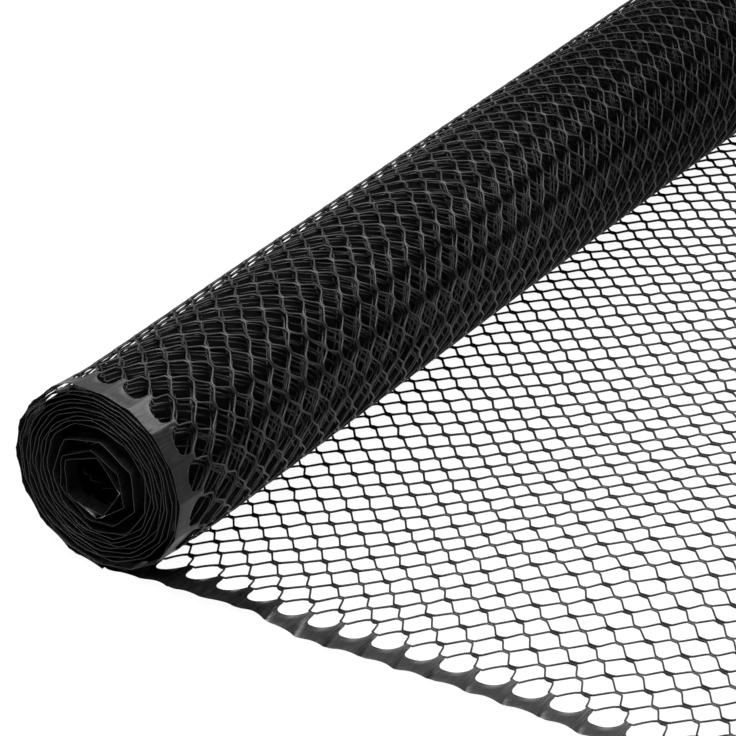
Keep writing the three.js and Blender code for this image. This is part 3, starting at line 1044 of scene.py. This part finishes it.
def white_floor():
    """A wide, matt floor that glows white like a light table, so that shadows on it stay faint."""
    half = 6000.0 * MM
    corners = [(-half, -half, 0), (half, -half, 0), (half, half, 0), (-half, half, 0)]
    mesh = bpy.data.meshes.new("floor")
    mesh.from_pydata(corners, [], [(0, 1, 2, 3)])
    material, _, shader, _ = plain_material("floor_paint")
    shader.inputs["Base Color"].default_value = (0.06, 0.06, 0.06, 1.0)
    shader.inputs["Roughness"].default_value = 0.9
    shader.inputs["Specular IOR Level"].default_value = 0.0
    shader.inputs["Emission Color"].default_value = (1.0, 1.0, 1.0, 1.0)
    shader.inputs["Emission Strength"].default_value = 0.96
    mesh.materials.append(material)
    floor = bpy.data.objects.new("floor", mesh)
    bpy.context.scene.collection.objects.link(floor)


def turned_to(right, up, back, place):
    """The matrix of a light or camera from its three directions and its place in millimetres."""
    matrix = np.eye(4)
    matrix[:3, 0], matrix[:3, 1], matrix[:3, 2] = right, up, back
    matrix[:3, 3] = np.array(place) * MM
    return Matrix(matrix.tolist())


def soft_box(name, place, aim, size, power):
    """A large soft light at a place, aimed at a point, both in millimetres."""
    data = bpy.data.lights.new(name, "AREA")
    data.shape = "RECTANGLE"
    data.size, data.size_y = (side * MM for side in size)
    data.energy = power
    light = bpy.data.objects.new(name, data)
    toward = np.array(aim, float) - np.array(place, float)
    back = -toward / np.linalg.norm(toward)
    side = np.cross((0.0, 1.0, 0.0), back)
    side /= np.linalg.norm(side)
    light.matrix_world = turned_to(side, np.cross(back, side), back, place)
    bpy.context.scene.collection.objects.link(light)


def studio_light():
    """White surroundings, one large soft light overhead, another from the right and a white
    backdrop."""
    world = bpy.data.worlds.new("studio")
    world.use_nodes = True
    background = world.node_tree.nodes["Background"]
    background.inputs["Color"].default_value = (1.0, 1.0, 1.0, 1.0)
    background.inputs["Strength"].default_value = 0.3
    bpy.context.scene.world = world
    overhead = (-300.0, AXIS_Y - 150.0, 1900.0)
    soft_box("overhead", overhead, (0.0, AXIS_Y - 100.0, 0.0), (2200.0, 1600.0), 85.0)
    side = (1780.0, AXIS_Y - 700.0, 1850.0)
    soft_box("side", side, (-150.0, AXIS_Y, 60.0), (1500.0, 1500.0), 44.0)
    backdrop = (2240.0, AXIS_Y + 1730.0, 1300.0)
    soft_box("backdrop", backdrop, (0.0, AXIS_Y, 300.0), (5000.0, 2200.0), 22.0)
    bpy.context.scene.view_settings.view_transform = "Standard"


# The camera's place is measured from the near end of the roll's axis on the floor.
CAMERA_FROM_NEAR_END = (-1115.2, -913.7, 901.7)
CAMERA_HEADING = math.radians(32.718)
CAMERA_DIP = math.radians(27.962)
CAMERA_TWIST = math.radians(0.456)
CAMERA_LENS = 131.83


def photo_camera():
    """The camera: it looks along a heading from X towards Y, dips below level, and is twisted a
    little clockwise."""
    level, dip, twist = CAMERA_HEADING, CAMERA_DIP, CAMERA_TWIST
    flat_forward = np.array([math.cos(level), math.sin(level), 0.0])
    forward = math.cos(dip) * flat_forward - math.sin(dip) * np.array([0.0, 0.0, 1.0])
    flat_right = np.array([math.sin(level), -math.cos(level), 0.0])
    flat_down = np.cross(forward, flat_right)
    right = math.cos(twist) * flat_right + math.sin(twist) * flat_down
    down = math.cos(twist) * flat_down - math.sin(twist) * flat_right
    data = bpy.data.cameras.new("camera")
    data.lens = CAMERA_LENS
    data.sensor_width = 36.0
    camera = bpy.data.objects.new("camera", data)
    place = np.array([-HALF_WIDTH, AXIS_Y, 0.0]) + CAMERA_FROM_NEAR_END
    camera.matrix_world = turned_to(right, -down, -forward, place)
    bpy.context.scene.collection.objects.link(camera)
    bpy.context.scene.camera = camera


photo_camera()
build_netting()
white_floor()
studio_light()
